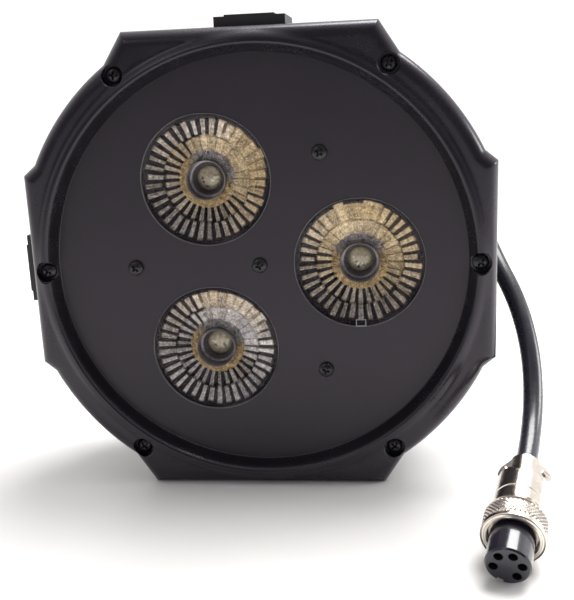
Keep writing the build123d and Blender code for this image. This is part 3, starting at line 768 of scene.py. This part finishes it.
def clear_cover(where, to_world):
    """Thin clear plate in front of the optic, and the rim round it, light grey as a painted highlight line.
    """
    plate = [(6.8, 0.25), (6.8, 0.05), (7.0, 0.0), (21.3, 0.0), (21.3, 0.25)]
    front = turned_mesh(f"lens_{where}_front", plate, to_world, steps=96)
    dress(f"lens_{where}_front", front, clear_front, sharp=30.0)
    rim = [(22.03, 1.2), (22.03, 0.04), (22.08, -0.05), (22.13, -0.08), (22.18, -0.04), (22.2, 0.05)]
    rim += [(22.2, 1.2)]
    ring = turned_mesh(f"lens_{where}_rim", rim, to_world, steps=144)
    dress(f"lens_{where}_rim", ring, rim_highlight_grey, sharp=30.0)


def lens(where, angle, outer_zones, inner_zones, grey_angle, seed):
    """One lens with its well and cover, at its angle round the face."""
    draw = np.random.default_rng(seed)
    turned = math.radians(angle)
    centre_x, centre_z = LENS_CIRCLE * math.cos(turned), LENS_CIRCLE * math.sin(turned)

    def to_world(x, z, distance):
        return place_on_face(centre_x + x, centre_z + z, LENS_FRONT + distance)

    facets(where, to_world, draw, outer_zones, inner_zones, grey_angle)
    well(where, to_world, draw)
    clear_cover(where, to_world)


# Given for each 45 degrees: light, share of gold, and how far the ribs merge.
# In each table the first row is painted light, how brightly the ribs are painted in each direction round
# the lens, and the second is the share of the gold, a painted reflection.
RIGHT_OUTER = (
    (0.75, 0.80, 0.80, 0.80, 0.50, 0.40, 0.45, 0.50),
    (0.80, 0.90, 1.00, 0.70, 0.50, 0.40, 0.20, 0.50),
    (0.40, 0.35, 0.95, 0.60, 0.00, 0.00, 0.15, 0.20),
)
RIGHT_INNER = (
    (0.80, 0.90, 1.00, 0.90, 0.75, 0.75, 0.60, 0.85),
    (0.90, 0.90, 0.80, 0.90, 0.80, 0.60, 0.30, 0.80),
    (0.60, 0.80, 1.00, 0.90, 0.10, 0.00, 0.30, 0.40),
)
UPPER_OUTER = (
    (0.75, 0.75, 0.95, 0.55, 0.45, 0.40, 0.60, 0.75),
    (1.00, 0.90, 0.20, 0.40, 0.30, 0.20, 0.20, 0.70),
    (0.60, 0.90, 0.20, 0.00, 0.10, 0.00, 0.10, 0.30),
)
UPPER_INNER = (
    (0.85, 0.85, 0.80, 0.60, 0.60, 0.60, 0.70, 0.70),
    (0.90, 0.90, 0.80, 0.80, 0.50, 0.50, 0.40, 0.80),
    (0.90, 1.00, 0.80, 0.20, 0.20, 0.10, 0.00, 0.30),
)
LOWER_OUTER = (
    (1.25, 0.90, 0.90, 0.70, 0.40, 1.00, 0.80, 0.50),
    (0.10, 0.40, 0.60, 0.40, 0.10, 0.00, 0.00, 0.00),
    (0.30, 0.80, 0.80, 0.10, 0.30, 0.00, 0.20, 0.40),
)
LOWER_INNER = (
    (1.20, 0.80, 0.85, 0.80, 0.40, 0.70, 0.50, 0.55),
    (0.00, 0.00, 0.10, 0.10, 0.10, 0.00, 0.10, 0.40),
    (0.50, 1.00, 0.90, 0.10, 0.20, 0.10, 0.10, 0.00),
)
TAB_MIDDLE = -20.75  # the gate mark's height below the right lens's centre
tab_points = [(-1.75, -22.0), (1.75, -22.0), (1.75, -19.5), (-1.75, -19.5)]
tab_inner = [(x * 0.82, TAB_MIDDLE + (z - TAB_MIDDLE) * 0.76) for x, z in tab_points]
tab_ring = []
for layer in (-0.05, 0.35):
    for x, z in tab_points + tab_inner:
        tab_ring.append(place_on_face(LENS_CIRCLE + x, z, LENS_FRONT + layer))
tab_faces = []
for corner in range(4):
    after = (corner + 1) % 4
    tab_faces += [(corner, after, 4 + after, 4 + corner), (8 + corner, 12 + corner, 12 + after, 8 + after)]
    tab_faces += [(corner, 8 + corner, 8 + after, after), (4 + corner, 4 + after, 12 + after, 12 + corner)]
make_piece("lens_right_gate_mark", tab_ring, tab_faces, rim_highlight_grey, sharp=30.0)
lens("right", 0, RIGHT_OUTER, RIGHT_INNER, 90, 5)
lens("upper", 120, UPPER_OUTER, UPPER_INNER, 60, 6)
lens("lower", 240, LOWER_OUTER, LOWER_INNER, 70, 7)


# ---- Coupling nut -------------------------------------------------------------------------------------
def knurled_nut():
    """Nut with a diamond knurl between a hollowed front rim and a bevelled back."""
    around_nut, across, steps_each = 44, 4, 6  # knurls round and along the nut, and mesh steps for each
    steps = around_nut * steps_each
    knurl_start, knurl_end, knurl_root, knurl_height = 12.9, 18.5, 8.94, 0.5
    knurl_rows = across * steps_each
    front_part = [(7.4, 15.3), (7.4, 11.0), (7.45, 10.8), (7.6, 10.7), (8.05, 10.7), (8.2, 10.82)]
    front_part += [(8.35, 11.1), (8.8, 11.2), (9.1, 11.05), (9.2, 10.92), (9.32, 10.92), (9.42, 11.1)]
    front_part += [(9.45, 11.4)]
    front_part += [(9.45, 12.1), (9.3, 12.3), (9.02, 12.45), (9.02, 12.7)]
    back_part = [(9.25, 18.7), (9.1, 19.1), (8.8, 19.4), (8.4, 19.5), (6.7, 19.5), (6.7, 15.3)]
    points = []
    for step in range(steps):
        angle = 2 * math.pi * step / steps
        ring = list(front_part)
        for row in range(knurl_rows + 1):
            part = row / knurl_rows
            phase = part * across
            one_way = abs(((step / steps_each + phase) % 1) * 2 - 1)
            other_way = abs(((step / steps_each - phase) % 1) * 2 - 1)
            fade = min(1, 8 * part, 8 * (1 - part))
            height = knurl_height * min(1, 1.9 * one_way, 1.9 * other_way) * fade
            ring.append((knurl_root + height, knurl_start + (knurl_end - knurl_start) * part))
        ring += back_part
        for radius, distance in ring:
            points.append(plug_point(radius * math.cos(angle), radius * math.sin(angle), distance))
    rows_here = len(front_part) + knurl_rows + 1 + len(back_part)
    return points, ring_faces(steps, rows_here, closed_profile=True)


nut_points, nut_faces = knurled_nut()
nut = make_piece("nut_knurled", nut_points, nut_faces, nickel, body=NUT, sharp=28.0)
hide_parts("coupling_nut")

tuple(cable_route[0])

# ---- Stage and light ----------------------------------------------------------------------------------
floor_finish = finish(
    "floor_white", (0.84, 0.825, 0.81), (0.88, 0.865, 0.85), (0.35, 0.5), 40.0, 0.02, 0.0002, patch=6.0,
)
floor_mesh = bpy.data.meshes.new("floor")
FLOOR_REACH, FLOOR_BACK = 6, 0.9
floor_corners = [
    (-FLOOR_REACH, -FLOOR_REACH, 0),
    (FLOOR_REACH, -FLOOR_REACH, 0),
    (FLOOR_REACH, FLOOR_BACK, 0),
    (-FLOOR_REACH, FLOOR_BACK, 0),
]
floor_mesh.from_pydata(floor_corners, [], [(0, 1, 2, 3)])
floor_mesh.materials.append(floor_finish)
floor = bpy.data.objects.new("floor", floor_mesh)
bpy.context.scene.collection.objects.link(floor)


def area_light(name, place, target, size, power):
    """Rectangular white light at a place, that faces its target."""
    data = bpy.data.lights.new(name, "AREA")
    data.shape = "RECTANGLE"
    data.size, data.size_y = size
    data.energy = power
    lamp = bpy.data.objects.new(name, data)
    bpy.context.scene.collection.objects.link(lamp)
    lamp.location = place
    lamp.rotation_euler = (Vector(target) - Vector(place)).to_track_quat("-Z", "Y").to_euler()


area_light("overhead", (0.35, 0.40, 1.15), (0.05, 0, 0.05), (0.8, 0.8), 24.0)
area_light("window", (1.25, 0.20, 0.42), (0.05, 0, 0.08), (0.45, 0.5), 6.0)
area_light("fill", (-0.8, -1.2, 1.1), (0, 0, 0.08), (0.6, 0.6), 1.5)

# The surroundings are white behind and above the lamp, and darker in front of it.
FRONT_TONE, BACK_TONE = (0.16, 0.15, 0.17, 1), (1.15, 1.14, 1.13, 1)
world = bpy.data.worlds.new("studio")
world.use_nodes = True
sky = world.node_tree
direction_of = sky.nodes.new("ShaderNodeTexCoord")
parts = sky.nodes.new("ShaderNodeSeparateXYZ")
span = sky.nodes.new("ShaderNodeMapRange")
span.interpolation_type = "SMOOTHSTEP"
span.inputs["From Min"].default_value = -0.75
span.inputs["From Max"].default_value = 0.25
tones = sky.nodes.new("ShaderNodeMix")
tones.data_type = "RGBA"
tones.inputs[6].default_value = FRONT_TONE
tones.inputs[7].default_value = BACK_TONE
sky.links.new(direction_of.outputs["Generated"], parts.inputs[0])
sky.links.new(parts.outputs["Y"], span.inputs["Value"])
sky.links.new(span.outputs["Result"], tones.inputs[0])
sky.links.new(tones.outputs[2], sky.nodes["Background"].inputs["Color"])
bpy.context.scene.world = world
bpy.context.scene.view_settings.view_transform = "Standard"
